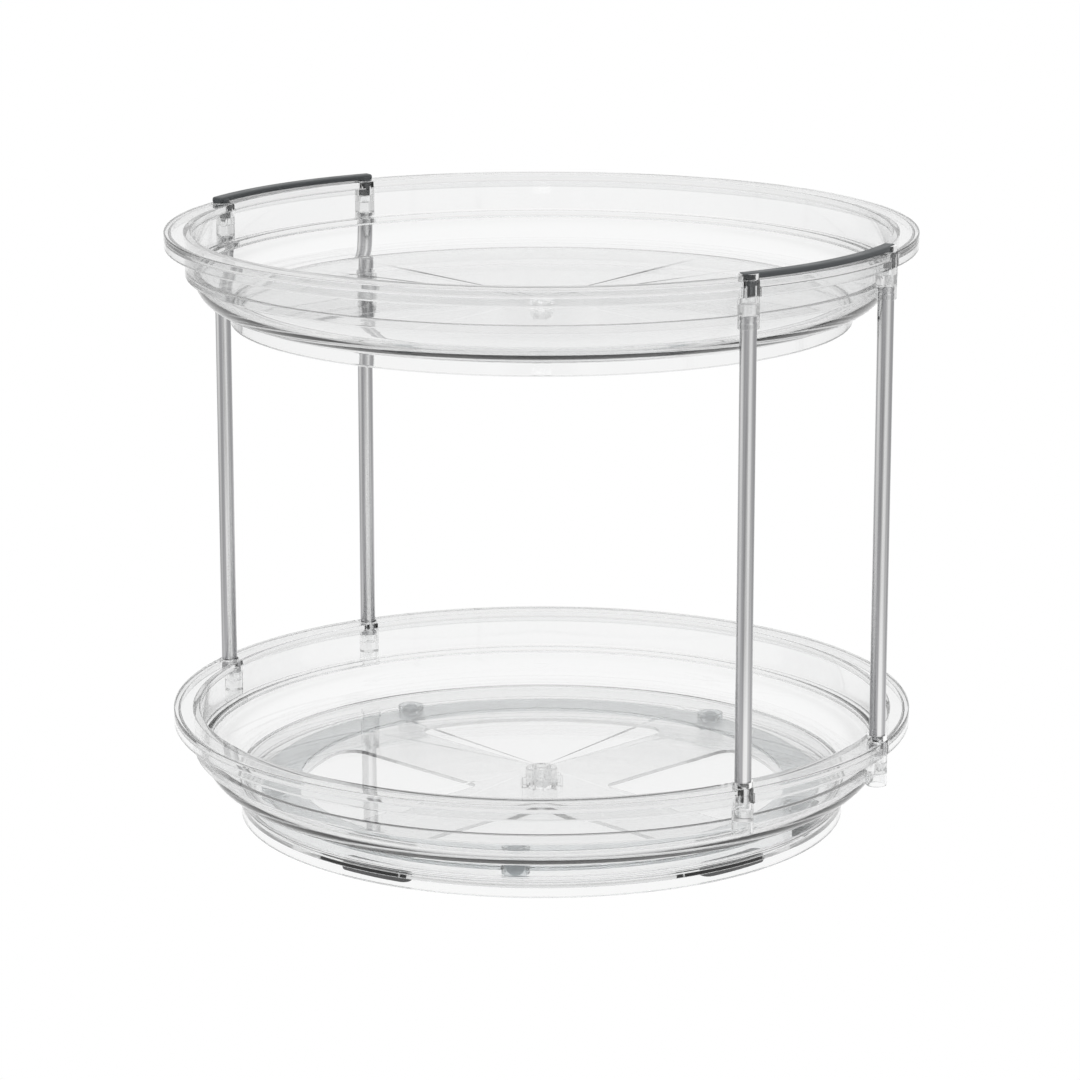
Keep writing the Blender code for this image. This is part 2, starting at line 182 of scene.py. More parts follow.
# Camera: where the photographer stood, relative to the spin axis.
CAMERA_AZIMUTH = math.radians(41.65)
CAMERA_DISTANCE = 1.480
CAMERA_HEIGHT = 0.4595
CAMERA_PITCH = math.radians(13.50)
CAMERA_LENS = 133.97
CAMERA_SHIFT_X = -0.0014

# Where the steel's painted reflection streaks, light and dark bands in its colour, are cut from the noise.
PAINTED_REFLECTION_OFFSET = (0.037, 0.047, 0.0)

# Studio light, square to the camera's first view and fixed there. Levels are shares of white.
KEY_AZIMUTH = CAMERA_AZIMUTH
FLOOR_HALF_SIZE = 12.0
FLOOR_DROP = 0.0002
POOL_HALF_WIDTH = 0.26
POOL_SPREAD = 0.14
POOL_EDGE = 0.20
FLOOR_SIDE = 0.75
FLOOR_FRONT = 0.55
FRONT_REACH = (0.30, 0.50)
FRONT_BREADTH = (0.15, 0.35)
STRIP_DISTANCE = 1.32
STRIP_SIZE = (0.15, 0.10)
STRIP_RADIANCE = 2.6
STRIP_HEIGHT = 0.004
SKY_SIDE = 0.45
SKY_BACK = 0.92
SKY_FRONT = 0.80
SKY_HIGH = 1.0
SKY_TOP = 1.2
BACKDROP_FADE = (0.84, 0.95)
FRONT_FADE = (0.25, 0.60)
HORIZON_FADE = (0.26, 0.42)
OVERHEAD_FADE = (0.45, 0.80)


# ---------------------------------------------------------------- shape helpers


def arc(centre_x, centre_y, radius, start, end, steps):
    """Points on an arc, both ends included. Angles are in degrees."""
    return [
        (
            centre_x + radius * math.cos(math.radians(start + (end - start) * i / steps)),
            centre_y + radius * math.sin(math.radians(start + (end - start) * i / steps)),
        )
        for i in range(steps + 1)
    ]


def on_circle(radius, angle, z=0.0):
    """The point at an angle round the spin axis."""
    return Vector((radius * math.cos(angle), radius * math.sin(angle), z))


def eased(corners, closed=False, steps=4):
    """The outline through (x, y, radius) corners, with each corner rounded to its radius."""
    points = []
    count = len(corners)
    for i, (x, y, radius) in enumerate(corners):
        if radius == 0 or (not closed and i in (0, count - 1)):
            points.append((x, y))
            continue
        corner = Vector((x, y))
        back = Vector(corners[i - 1][:2]) - corner
        ahead = Vector(corners[(i + 1) % count][:2]) - corner
        half = back.angle(ahead) / 2
        reach = min(radius / math.tan(half), CORNER_SHARE * back.length, CORNER_SHARE * ahead.length)
        radius = reach * math.tan(half)
        back.normalize()
        ahead.normalize()
        centre = corner + (back + ahead).normalized() * radius / math.sin(half)
        first = corner + back * reach - centre
        turn = first.angle_signed(corner + ahead * reach - centre)
        for step in range(steps + 1):
            spoke = first.copy()
            spoke.rotate(Matrix.Rotation(-turn * step / steps, 2))
            points.append(tuple(centre + spoke))
    return points


def object_of(shape, name):
    """An object with the mesh that a bmesh holds, its faces pointing out."""
    bmesh.ops.recalc_face_normals(shape, faces=shape.faces[:])
    mesh = bpy.data.meshes.new(name)
    shape.to_mesh(mesh)
    shape.free()
    obj = bpy.data.objects.new(name, mesh)
    bpy.context.scene.collection.objects.link(obj)
    return obj


def turned(name, profile, closed=False, steps=ROUND_STEPS):
    """A solid turned about Z from (radius, height) points that run over its top and down its outer side."""
    shape = bmesh.new()
    corners = [shape.verts.new((radius, 0.0, z)) for radius, z in profile]
    for start, end in zip(corners, corners[1:] + corners[: 1 if closed else 0]):
        shape.edges.new((start, end))
    obj = object_of(shape, name)
    turn = obj.modifiers.new("Turn", "SCREW")
    turn.steps = turn.render_steps = steps
    turn.use_merge_vertices = True
    turn.merge_threshold = 0.00001
    return obj


def blocks(name, sizes, centres, angles, edge=0.0):
    """Boxes that all have one size and one edge rounding, each turned about Z and then put in its place."""
    shape = bmesh.new()
    for centre, angle in zip(centres, angles):
        block = bmesh.new()
        bmesh.ops.create_cube(block, size=1.0)
        bmesh.ops.scale(block, vec=sizes, verts=block.verts)
        if edge:
            bmesh.ops.bevel(
                block, geom=block.edges[:], offset=edge, segments=4, profile=0.5, affect="EDGES"
            )
        block.transform(Matrix.Translation(centre) @ Matrix.Rotation(angle, 4, "Z"))
        mesh = bpy.data.meshes.new("block")
        block.to_mesh(mesh)
        block.free()
        shape.from_mesh(mesh)
        bpy.data.meshes.remove(mesh)
    return object_of(shape, name)


def posts(name, radius, low, high, places, steps=SMALL_STEPS):
    """Upright cylinders of one size at the given places."""
    shape = bmesh.new()
    for place in places:
        ends = bmesh.ops.create_cone(
            shape, cap_ends=True, segments=steps, radius1=radius, radius2=radius, depth=high - low
        )
        bmesh.ops.translate(shape, vec=(place[0], place[1], (low + high) / 2), verts=ends["verts"])
    return object_of(shape, name)


def slab(name, outline, low, high):
    """A flat outline of (x, y) points, extruded from one height to another."""
    shape = bmesh.new()
    floor = shape.faces.new([shape.verts.new((x, y, low)) for x, y in outline])
    raised = bmesh.ops.extrude_face_region(shape, geom=[floor])["geom"]
    lifted = [part for part in raised if isinstance(part, bmesh.types.BMVert)]
    bmesh.ops.translate(shape, vec=(0, 0, high - low), verts=lifted)
    return object_of(shape, name)


def combine(obj, other, operation):
    """Joins a tool to an object, or cuts it out, once the modifiers are applied."""
    step = obj.modifiers.new(other.name, "BOOLEAN")
    step.object = other
    step.operation = operation
    step.solver = "EXACT"
    return other


def applied(obj):
    """Replaces an object's mesh with what its modifiers make of it."""
    bpy.context.view_layer.update()
    graph = bpy.context.evaluated_depsgraph_get()
    mesh = bpy.data.meshes.new_from_object(obj.evaluated_get(graph))
    obj.modifiers.clear()
    obj.data = mesh
    return mesh


def settle(obj, *tools, sharp=32):
    """Applies the modifiers, removes the tools and shades the surface smooth, with its flats kept flat."""
    mesh = applied(obj)
    for tool in tools:
        bpy.data.objects.remove(tool, do_unlink=True)
    mesh.shade_smooth()
    mesh.set_sharp_from_angle(angle=math.radians(sharp))
    even = obj.modifiers.new("Even", "WEIGHTED_NORMAL")
    even.keep_sharp = True
    mesh = applied(obj)
    normals = [corner.vector.copy() for corner in mesh.corner_normals]
    for face in mesh.polygons:
        if abs(face.normal.z) > LEVEL:
            for corner in face.loop_indices:
                normals[corner] = face.normal.copy()
    mesh.normals_split_custom_set(normals)
    return obj


def copy_of(obj, name, location=(0, 0, 0), angle=0.0):
    """Another object with the same mesh, in its own place."""
    made = bpy.data.objects.new(name, obj.data)
    made.location = location
    made.rotation_euler.z = angle
    bpy.context.scene.collection.objects.link(made)
    return made


def fit(piece, node, body, material):
    """Gives a piece its material and its body, and hides the CAD node that it stands in for."""
    piece.data.materials.clear()
    piece.data.materials.append(material)
    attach(piece, body)
    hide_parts(node)


# ---------------------------------------------------------------- materials


class Nodes:
    """A short way to write the node tree of a material or a world."""

    def __init__(self, owner):
        owner.use_nodes = True
        self.owner = owner
        self.tree = owner.node_tree

    def add(self, kind, inputs=None, **settings):
        """A new node, with its settings and inputs."""
        node = self.tree.nodes.new(kind)
        for key, value in settings.items():
            setattr(node, key, value)
        for key, value in (inputs or {}).items():
            self.feed(node.inputs[key], value)
        return node

    def feed(self, socket, value):
        """Links an output to the socket, or sets a plain value on it."""
        if isinstance(value, bpy.types.NodeSocket):
            self.tree.links.new(value, socket)
        else:
            socket.default_value = value

    def set(self, shader="Principled BSDF", **values):
        """Feeds the inputs of a node that is already there."""
        for key, value in values.items():
            self.feed(self.tree.nodes[shader].inputs[key.replace("_", " ")], value)

    def math(self, operation, first, second=0.0):
        return self.add("ShaderNodeMath", {0: first, 1: second}, operation=operation).outputs[0]

    def towards_key(self, vector):
        """The X, Y and Z of a vector, turned so that +Y points away from the key light."""
        inputs = {"Vector": vector, "Rotation": (0, 0, -KEY_AZIMUTH)}
        turned_vector = self.add("ShaderNodeMapping", inputs).outputs["Vector"]
        return self.add("ShaderNodeSeparateXYZ", {0: turned_vector}).outputs

    def fade(self, value, start, end, low, high):
        """Goes softly from low to high as the value goes from start to end."""
        inputs = {"Value": value, "From Min": start, "From Max": end, "To Min": low, "To Max": high}
        return self.add("ShaderNodeMapRange", inputs, interpolation_type="SMOOTHSTEP").outputs["Result"]

    def stretched(self, scale, offset=(0, 0, 0)):
        """The piece's own coordinates, stretched along the axes and then moved."""
        place = self.add("ShaderNodeTexCoord").outputs["Object"]
        inputs = {"Vector": place, "Scale": scale, "Location": offset}
        return self.add("ShaderNodeMapping", inputs).outputs["Vector"]

    def noise(self, vector, scale, detail=4.0, roughness=0.55):
        inputs = {"Vector": vector, "Scale": scale, "Detail": detail, "Roughness": roughness}
        return self.add("ShaderNodeTexNoise", inputs).outputs["Fac"]

    def spread(self, value, low, high, start=0.35, end=0.65):
        """Spreads a value from one range over another."""
        inputs = {"Value": value, "From Min": start, "From Max": end, "To Min": low, "To Max": high}
        return self.add("ShaderNodeMapRange", inputs).outputs["Result"]

    def blend(self, factor, first, second):
        """A mix of two colours."""
        node = self.add("ShaderNodeMix", data_type="RGBA")
        self.tree.links.new(factor, node.inputs["Factor"])
        node.inputs["A"].default_value = first
        node.inputs["B"].default_value = second
        return node.outputs["Result"]

    def bump(self, height, strength, distance, normal=None):
        inputs = {"Height": height, "Strength": strength, "Distance": distance}
        if normal is not None:
            inputs["Normal"] = normal
        return self.add("ShaderNodeBump", inputs).outputs["Normal"]


def clear_plastic():
    """Polished clear moulding: faint flow waviness, light handling scratches and a little grey in it."""
    made = Nodes(bpy.data.materials.new("clear_moulding"))
    place = made.stretched((1, 1, 1))
    wave = made.noise(place, 22.0, 2.0)
    scratch = made.noise(made.stretched((1, 1, 6)), 700.0, 3.0)
    made.set(Base_Color=(0.955, 0.957, 0.957, 1), Roughness=made.spread(made.noise(place, 60.0), 0.0, 0.02))
    made.set(Transmission_Weight=1.0, IOR=1.5)
    wavy = made.bump(wave, 0.04, 0.0010)
    made.set(Normal=made.bump(scratch, 0.004, 0.0002, wavy))
    depth = made.add("ShaderNodeVolumeAbsorption", {"Color": (0.30, 0.305, 0.305, 1), "Density": 16.0})
    made.set("Material Output", Volume=depth.outputs["Volume"])
    return made.owner


def polished_steel():
    """Drawn steel rod: fine grain along its length, and light and dark streaks along it painted into its
    colour as reflection.
    """
    made = Nodes(bpy.data.materials.new("drawn_steel"))
    grain = made.noise(made.stretched((1, 1, 0.02)), 2600.0, 3.0)
    # Painted reflection: stretched noise gives light and dark streaks along the rod, and the colour follows
    # them from dark to light.
    painted_reflection = made.noise(made.stretched((1, 1, 0.008), PAINTED_REFLECTION_OFFSET), 430.0, 1.5)
    light = made.spread(painted_reflection, 0.0, 1.0, 0.42, 0.58)
    made.set(Base_Color=made.blend(light, (0.40, 0.40, 0.41, 1), (0.84, 0.84, 0.84, 1)))
    made.set(Metallic=1.0, Roughness=made.spread(grain, 0.14, 0.24))
    made.set(Normal=made.bump(grain, 0.06, 0.0001))
    return made.owner


def grip_plastic():
    """Dark grey satin plastic with a fine moulded grain and slightly worn, lighter patches."""
    made = Nodes(bpy.data.materials.new("grip_satin"))
    place = made.stretched((1, 1, 1))
    grain = made.noise(place, 2400.0, 2.0)
    wear = made.noise(place, 90.0, 5.0)
    made.set(Base_Color=made.blend(wear, (0.055, 0.061, 0.065, 1), (0.085, 0.092, 0.096, 1)))
    made.set(Roughness=made.spread(wear, 0.42, 0.58))
    made.set(Normal=made.bump(grain, 0.18, 0.0001))
    return made.owner


def cage_plastic():
    """Translucent blue-grey plastic."""
    made = Nodes(bpy.data.materials.new("cage_translucent"))
    place = made.stretched((1, 1, 1))
    cloud = made.noise(place, 70.0, 4.0)
    made.set(Base_Color=made.blend(cloud, (0.90, 0.935, 0.95, 1), (0.94, 0.965, 0.975, 1)))
    made.set(Roughness=made.spread(cloud, 0.10, 0.20), Transmission_Weight=0.85, IOR=1.45)
    made.set(Normal=made.bump(made.noise(place, 1800.0, 2.0), 0.08, 0.0001))
    return made.owner


def ball_plastic():
    """Smooth grey bearing balls, faintly scuffed where they roll."""
    made = Nodes(bpy.data.materials.new("ball_smooth"))
    scuff = made.noise(made.stretched((6, 1, 1)), 500.0, 4.0)
    made.set(Base_Color=made.blend(scuff, (0.52, 0.57, 0.61, 1), (0.64, 0.69, 0.72, 1)))
    made.set(Roughness=made.spread(scuff, 0.18, 0.36), IOR=1.5)
    made.set(Normal=made.bump(scuff, 0.05, 0.0001))
    return made.owner


def foot_rubber():
    """Matt black rubber with a pebbled face and a little dust on it."""
    made = Nodes(bpy.data.materials.new("foot_rubber"))
    place = made.stretched((1, 1, 1))
    cells = made.add("ShaderNodeTexVoronoi", {"Vector": place, "Scale": 1100.0}).outputs["Distance"]
    dust = made.noise(place, 260.0, 5.0)
    made.set(Base_Color=made.blend(dust, (0.006, 0.006, 0.007, 1), (0.020, 0.020, 0.021, 1)))
    made.set(Roughness=made.spread(dust, 0.62, 0.80))
    made.set(Normal=made.bump(cells, 0.25, 0.0002))
    return made.owner


# ---------------------------------------------------------------- pieces


def tray_profile():
    """Over the floor, up the bowl and the stepped wall, round the brim, and back down outside."""
    inner_lower = LOWER_WALL_RADIUS - TRAY_WALL
    inner_upper = UPPER_WALL_RADIUS - TRAY_WALL
    lip_inner = BRIM_RADIUS - LIP_THICKNESS
    skirt_inner = SKIRT_OUTER_RADIUS - SKIRT_THICKNESS

    def bowl(across, height, floor, angle):
        turn = math.radians(angle)
        return (FLOOR_FLAT_RADIUS + across * math.sin(turn), floor + height * (1 - math.cos(turn)), 0)

    inner = [
        bowl(inner_lower - FLOOR_FLAT_RADIUS, BOWL_TOP - FLOOR_TOP, FLOOR_TOP, 90 * i / INNER_BOWL_STEPS)
        for i in range(INNER_BOWL_STEPS + 1)
    ]
    across = LOWER_WALL_RADIUS - FLOOR_FLAT_RADIUS
    skirt_angle = math.degrees(math.asin((SKIRT_OUTER_RADIUS - FLOOR_FLAT_RADIUS) / across))
    outer = [
        bowl(across, BOWL_TOP - FLOOR_UNDER, FLOOR_UNDER, 90 - (90 - skirt_angle) * i / OUTER_BOWL_STEPS)
        for i in range(OUTER_BOWL_STEPS + 1)
    ]
    return eased(
        [(0.0, FLOOR_TOP, 0)]
        + inner
        + [(inner_lower, STEP_TOP, 0.0006), (inner_upper, STEP_TOP, 0.0005)]
        + [(inner_upper, 0.0, 0.0005), (BRIM_RADIUS, 0.0, 0.0005)]
        + [(BRIM_RADIUS, -LIP_DEPTH, 0.0006), (lip_inner, -LIP_DEPTH, 0.0006)]
        + [(lip_inner, -BRIM_THICKNESS, 0.0005), (UPPER_WALL_RADIUS, -BRIM_THICKNESS, 0.0005)]
        + [(UPPER_WALL_RADIUS, STEP_UNDER, 0.0007), (LOWER_WALL_RADIUS, STEP_UNDER, 0.0002)]
        + outer
        + [(SKIRT_OUTER_RADIUS, SKIRT_BOTTOM, 0.0005), (skirt_inner, SKIRT_BOTTOM, 0.0005)]
        + [(skirt_inner, FLOOR_UNDER, 0.0004), (0.0, FLOOR_UNDER, 0)]
    )


def snap_fingers():
    """Four barbed fingers: a barbed tube with a cross sawn out of it."""
    buried = FLOOR_UNDER + FINGER_BURIED
    profile = eased(
        [
            (FINGER_BORE, buried, 0),
            (FINGER_RADIUS, buried, 0),
            (FINGER_RADIUS, BARB_TOP, 0.0003),
            (BARB_RADIUS, BARB_TOP, 0.0003),
            (BARB_TIP_RADIUS, BARB_BOTTOM, 0.0003),
            (FINGER_BORE, BARB_BOTTOM, 0.0002),
        ],
        closed=True,
        steps=3,
    )
    fingers = turned("snap_fingers", profile, closed=True, steps=SMALL_STEPS)
    centre = Vector((0, 0, FLOOR_UNDER - SLOT_CLEARANCE - SAW_SIZE / 2))
    saws = [
        blocks("finger_saw", (SAW_SIZE, FINGER_SLOT, SAW_SIZE), [centre], [0.0]),
        blocks("finger_cross_saw", (FINGER_SLOT, SAW_SIZE, SAW_SIZE), [centre], [0.0]),
    ]
    for saw in saws:
        combine(fingers, saw, "DIFFERENCE")
    return settle(fingers, *saws)


def make_trays(material):
    """Both trays are one moulding: a turned bowl with snap fingers and four sockets for the rods."""
    tray = turned("upper_tray_clear", tray_profile())
    holes = [on_circle(ROD_CIRCLE_RADIUS, a) for a in ROD_ANGLES]
    socket = eased(
        [
            (0.0, SOCKET_TOP, 0),
            (SOCKET_RADIUS, SOCKET_TOP, 0),
            (SOCKET_RADIUS, SOCKET_BOTTOM, 0.0004),
            (POCKET_RADIUS, SOCKET_BOTTOM, 0.0003),
            (POCKET_RADIUS, BOTTOM_POCKET_TOP, 0.0004),
            (0.0, BOTTOM_POCKET_TOP, 0),
        ]
    )
    pocket = eased(
        [
            (0.0, POCKET_CUT_TOP, 0),
            (POCKET_RADIUS + POCKET_LEAD_IN, POCKET_CUT_TOP, 0),
            (POCKET_RADIUS + POCKET_LEAD_IN, 0.0, 0),
            (POCKET_RADIUS, -POCKET_LEAD_IN, 0.0002),
            (POCKET_RADIUS, -TOP_POCKET_DEPTH, 0.0002),
            (NARROW_POCKET_RADIUS, -TOP_POCKET_DEPTH, 0.0002),
            (NARROW_POCKET_RADIUS, -NARROW_POCKET_DEPTH, 0.0004),
            (0.0, -NARROW_POCKET_DEPTH, 0),
        ]
    )
    tools = [combine(tray, snap_fingers(), "UNION")]
    for name, profile, operation in (("socket", socket, "UNION"), ("pocket", pocket, "DIFFERENCE")):
        for number, place in enumerate(holes, 1):
            tool = settle(turned(f"{name}_{number}", profile, steps=SMALL_STEPS))
            tool.location = place
            tools.append(combine(tray, tool, operation))
    settle(tray, *tools)
    tray.location.z = UPPER_BRIM_Z
    lower = copy_of(tray, "lower_tray_clear", (0, 0, LOWER_BRIM_Z))
    fit(tray, "upper_tray", "turntable", material)
    fit(lower, "lower_tray", "turntable", material)


def make_rods(material):
    """Drawn rods with turned, rounded ends and a shallow grip groove near each end, inside the sockets."""
    low, high = RODS["right_rear"]
    half = (high.z - low.z) / 2
    groove_top = half - GROOVE_START - GROOVE_SLOPE
    groove_bottom = groove_top - GROOVE_FLAT
    upper = [
        (0.0, half, 0),
        (ROD_RADIUS, half, 0.0005),
        (ROD_RADIUS, half - GROOVE_START, 0.0001),
        (ROD_RADIUS - GROOVE_DEPTH, groove_top, 0.0001),
        (ROD_RADIUS - GROOVE_DEPTH, groove_bottom, 0.0001),
        (ROD_RADIUS, groove_bottom - GROOVE_SLOPE, 0.0001),
    ]
    lower = [(radius, -z, ease) for radius, z, ease in reversed(upper)]
    rod = settle(turned("rod", eased(upper + lower), steps=SMALL_STEPS))
    for side in SIDES:
        low, high = RODS[side]
        piece = copy_of(rod, f"rod_{side}_steel", (low + high) / 2)
        fit(piece, f"rod_{side}", "turntable", material)
    bpy.data.objects.remove(rod, do_unlink=True)


def grip_section(shrink):
    """The bar's outline across the brim, (outward, up) from its middle, with soft upper edges."""
    wide = GRIP_WIDTH / 2 - shrink
    tall = GRIP_HEIGHT / 2 - shrink
    return eased(
        [(-wide, -tall, 0.0003), (wide, -tall, 0.0003), (wide, tall, 0.0008), (-wide, tall, 0.0008)],
        closed=True,
    )


def make_grips(material):
    """Arc bars with softly closed ends, and under each end a round peg with a wider collar at its top."""
    reach = ROD_HALF_SPREAD + GRIP_OVERHANG / ROD_CIRCLE_RADIUS
    closing = []
    for i in range(GRIP_END_STEPS):
        turn = math.pi / 2 * i / GRIP_END_STEPS
        back = GRIP_END_ROUND * (1 - math.cos(turn)) / ROD_CIRCLE_RADIUS
        closing.append((back - reach, GRIP_END_ROUND * (1 - math.sin(turn))))
    straight = reach - GRIP_END_ROUND / ROD_CIRCLE_RADIUS
    middle = [(straight * (i / GRIP_HALF_STEPS - 1), 0.0) for i in range(2 * GRIP_HALF_STEPS + 1)]
    stations = closing + middle + [(-angle, shrink) for angle, shrink in reversed(closing)]
    bar_z = GRIP[1].z - GRIP_HEIGHT / 2
    shape = bmesh.new()
    loops = []
    for angle, shrink in stations:
        loops.append(
            [
                shape.verts.new(on_circle(ROD_CIRCLE_RADIUS + across, angle, bar_z + up))
                for across, up in grip_section(shrink)
            ]
        )
    for first, second in zip(loops, loops[1:]):
        for i in range(len(first)):
            j = (i + 1) % len(first)
            shape.faces.new((first[i], first[j], second[j], second[i]))
    shape.faces.new(list(reversed(loops[0])))
    shape.faces.new(loops[-1])
    bar = object_of(shape, "grip_right_bar")
    low = GRIP[0].z
    collar_z = UPPER_BRIM_Z - PEG_COLLAR_DEPTH
    profile = eased(
        [
            (0.0, bar_z, 0),
            (PEG_COLLAR_RADIUS, bar_z, 0),
            (PEG_COLLAR_RADIUS, collar_z, 0.0003),
            (PEG_RADIUS, collar_z, 0.0002),
            (PEG_RADIUS, low, 0.0005),
            (0.0, low, 0),
        ]
    )
    pegs = []
    for side in (-1, 1):
        peg = settle(turned(f"grip_peg_{side + 1}", profile, steps=SMALL_STEPS))
        peg.location = on_circle(ROD_CIRCLE_RADIUS, side * ROD_HALF_SPREAD)
        pegs.append(combine(bar, peg, "UNION"))
    settle(bar, *pegs)
    left = copy_of(bar, "grip_left_bar", angle=math.pi)
    fit(bar, "grip_right", "turntable", material)
    fit(left, "grip_left", "turntable", material)


def window_outline():
    """One quarter's window: straight along two spokes, round outside, with three rounded corners."""
    apex = SPOKE_HALF_WIDTH + WINDOW_APEX_ROUND
    corner_y = SPOKE_HALF_WIDTH + WINDOW_CORNER_ROUND
    corner_x = math.sqrt((WINDOW_RADIUS - WINDOW_CORNER_ROUND) ** 2 - corner_y**2)
    lean = math.degrees(math.atan2(corner_y, corner_x))
    return (
        arc(apex, apex, WINDOW_APEX_ROUND, 180, 270, 8)
        + arc(corner_x, corner_y, WINDOW_CORNER_ROUND, -90, lean, 14)
        + arc(0, 0, WINDOW_RADIUS, lean, 90 - lean, 40)[1:-1]
        + arc(corner_y, corner_x, WINDOW_CORNER_ROUND, 90 - lean, 180, 14)
    )


def make_base(material):
    """The disc with its rim, race rib and hub collar, four windows, and small gussets round the hub."""
    rim_inner = BASE_RADIUS - BASE_RIM_THICKNESS
    rib_inner = RACE_RIB_RADIUS - RACE_RIB_THICKNESS
    profile = eased(
        [
            (LEDGE_BORE, COLLAR_TOP, 0.0002),
            (COLLAR_RADIUS, COLLAR_TOP, 0.0004),
            (COLLAR_RADIUS, PLATE_TOP, 0.0002),
            (rib_inner, PLATE_TOP, 0.0002),
            (rib_inner, RACE_RIB_TOP, 0.0003),
            (RACE_RIB_RADIUS, RACE_RIB_TOP, 0.0003),
            (RACE_RIB_RADIUS, PLATE_TOP, 0.0002),
            (rim_inner, PLATE_TOP, 0.0003),
            (rim_inner, BASE_RIM_TOP, 0.0005),
            (BASE_RADIUS, BASE_RIM_TOP, 0.0006),
            (BASE_RADIUS, BASE_RIM_BOTTOM, 0.0003),
            (rim_inner, BASE_RIM_BOTTOM, 0.0003),
            (rim_inner, PLATE_UNDER, 0.0003),
            (COLLAR_BORE, PLATE_UNDER, 0.0002),
            (COLLAR_BORE, LEDGE_UNDER, 0.0001),
            (LEDGE_BORE, LEDGE_UNDER, 0.0001),
        ],
        closed=True,
    )
    disc = turned("base_disc_clear", profile, closed=True)
    angles = [2 * math.pi * i / GUSSET_COUNT for i in range(GUSSET_COUNT)]
    buried_radius = (COLLAR_RADIUS + COLLAR_BORE) / 2
    buried_z = (PLATE_TOP + PLATE_UNDER) / 2
    sizes = (GUSSET_RADIUS - buried_radius, GUSSET_THICKNESS, GUSSET_TOP - buried_z)
    centres = [
        on_circle((GUSSET_RADIUS + buried_radius) / 2, a, (GUSSET_TOP + buried_z) / 2) for a in angles
    ]
    tools = [combine(disc, blocks("hub_gussets", sizes, centres, angles, GUSSET_EDGE_ROUND), "UNION")]
    for quarter in range(4):
        window = slab(f"window_{quarter + 1}", window_outline(), *WINDOW_CUT)
        window.rotation_euler.z = quarter * math.pi / 2
        tools.append(combine(disc, window, "DIFFERENCE"))
    settle(disc, *tools)
    disc.rotation_euler.z = BASE_TURN
    fit(disc, "base_disc_plate", "base", material)


def make_feet(material):
    """Curved rubber pads with round ends and softened edges."""
    height = FEET[0][1].z
    spread = math.degrees(FOOT_HALF_SPREAD)
    ends = [on_circle(FOOT_CIRCLE_RADIUS, side * FOOT_HALF_SPREAD) for side in (1, -1)]
    outline = (
        arc(0, 0, FOOT_CIRCLE_RADIUS + FOOT_HALF_WIDTH, -spread, spread, 16)
        + arc(ends[0].x, ends[0].y, FOOT_HALF_WIDTH, spread, spread + 180, 14)[1:-1]
        + arc(0, 0, FOOT_CIRCLE_RADIUS - FOOT_HALF_WIDTH, spread, -spread, 16)
        + arc(ends[1].x, ends[1].y, FOOT_HALF_WIDTH, 180 - spread, 360 - spread, 14)[1:-1]
    )
    pad = slab("pad", outline, 0.0, height)
    edges = pad.modifiers.new("Edges", "BEVEL")
    edges.width = FOOT_EDGE_ROUND
    edges.segments = 3
    edges.limit_method = "ANGLE"
    edges.angle_limit = math.radians(60)
    settle(pad)
    for number, (low, high) in enumerate(FEET, 1):
        centre = (low + high) / 2
        piece = copy_of(pad, f"foot_pad_{number}", angle=math.atan2(centre.y, centre.x))
        fit(piece, f"foot_{number}", "base", material)
    bpy.data.objects.remove(pad, do_unlink=True)


def make_cage(material):
    """The flat ring with an open cup for each ball."""
    profile = eased(
        [
            (CAGE_INNER_RADIUS, CAGE_TOP, 0.0004),
            (CAGE_OUTER_RADIUS, CAGE_TOP, 0.0004),
            (CAGE_OUTER_RADIUS, CAGE_UNDER, 0.0003),
            (CAGE_INNER_RADIUS, CAGE_UNDER, 0.0003),
        ],
        closed=True,
    )
    ring = turned("bearing_cage_ring", profile, closed=True)
    bores = posts("cup_bores", CUP_BORE, *CUP_CUT, BALL_CENTRES)
    cup_low, cup_high = CAGE[0].z, CAGE[1].z
    cup_profile = eased(
        [
            (0.0, cup_high, 0),
            (CUP_RADIUS, cup_high, 0.0004),
            (CUP_RADIUS, cup_low, 0.0003),
            (0.0, cup_low, 0),
        ]
    )
    cup = settle(turned("cup", cup_profile, steps=SMALL_STEPS))
    tools = []
    for centre in BALL_CENTRES:
        tools.append(combine(ring, copy_of(cup, "cup_at", (centre.x, centre.y, 0)), "UNION"))
    tools.append(combine(ring, bores, "DIFFERENCE"))
    settle(ring, cup, *tools)
    fit(ring, "bearing_cage", "cage", material)


def make_balls(material):
    """Ground balls, each with two small pole flats and a fine moulding seam at its middle."""
    low, high = BALLS[0]
    radius = (high.z - low.z) / 2
    profile = []
    for i in range(BALL_STEPS + 1):
        turn = math.radians(BALL_FLAT_ANGLE + (180 - 2 * BALL_FLAT_ANGLE) * i / BALL_STEPS)
        reach = radius - (BALL_SEAM if i == BALL_STEPS // 2 else 0)
        profile.append((reach * math.sin(turn), reach * math.cos(turn)))
    cap = profile[0][1]
    ball = settle(turned("ball", [(0.0, cap)] + profile + [(0.0, -cap)], steps=SMALL_STEPS))
    ball.data.transform(Matrix.Rotation(math.pi / 2, 4, "Y"))
    for number, centre in enumerate(BALL_CENTRES, 1):
        piece = copy_of(ball, f"ball_{number}_smooth", centre, math.atan2(centre.y, centre.x))
        fit(piece, f"bearing_ball_{number}", f"ball_{number}", material)
    bpy.data.objects.remove(ball, do_unlink=True)


# ---------------------------------------------------------------- stage


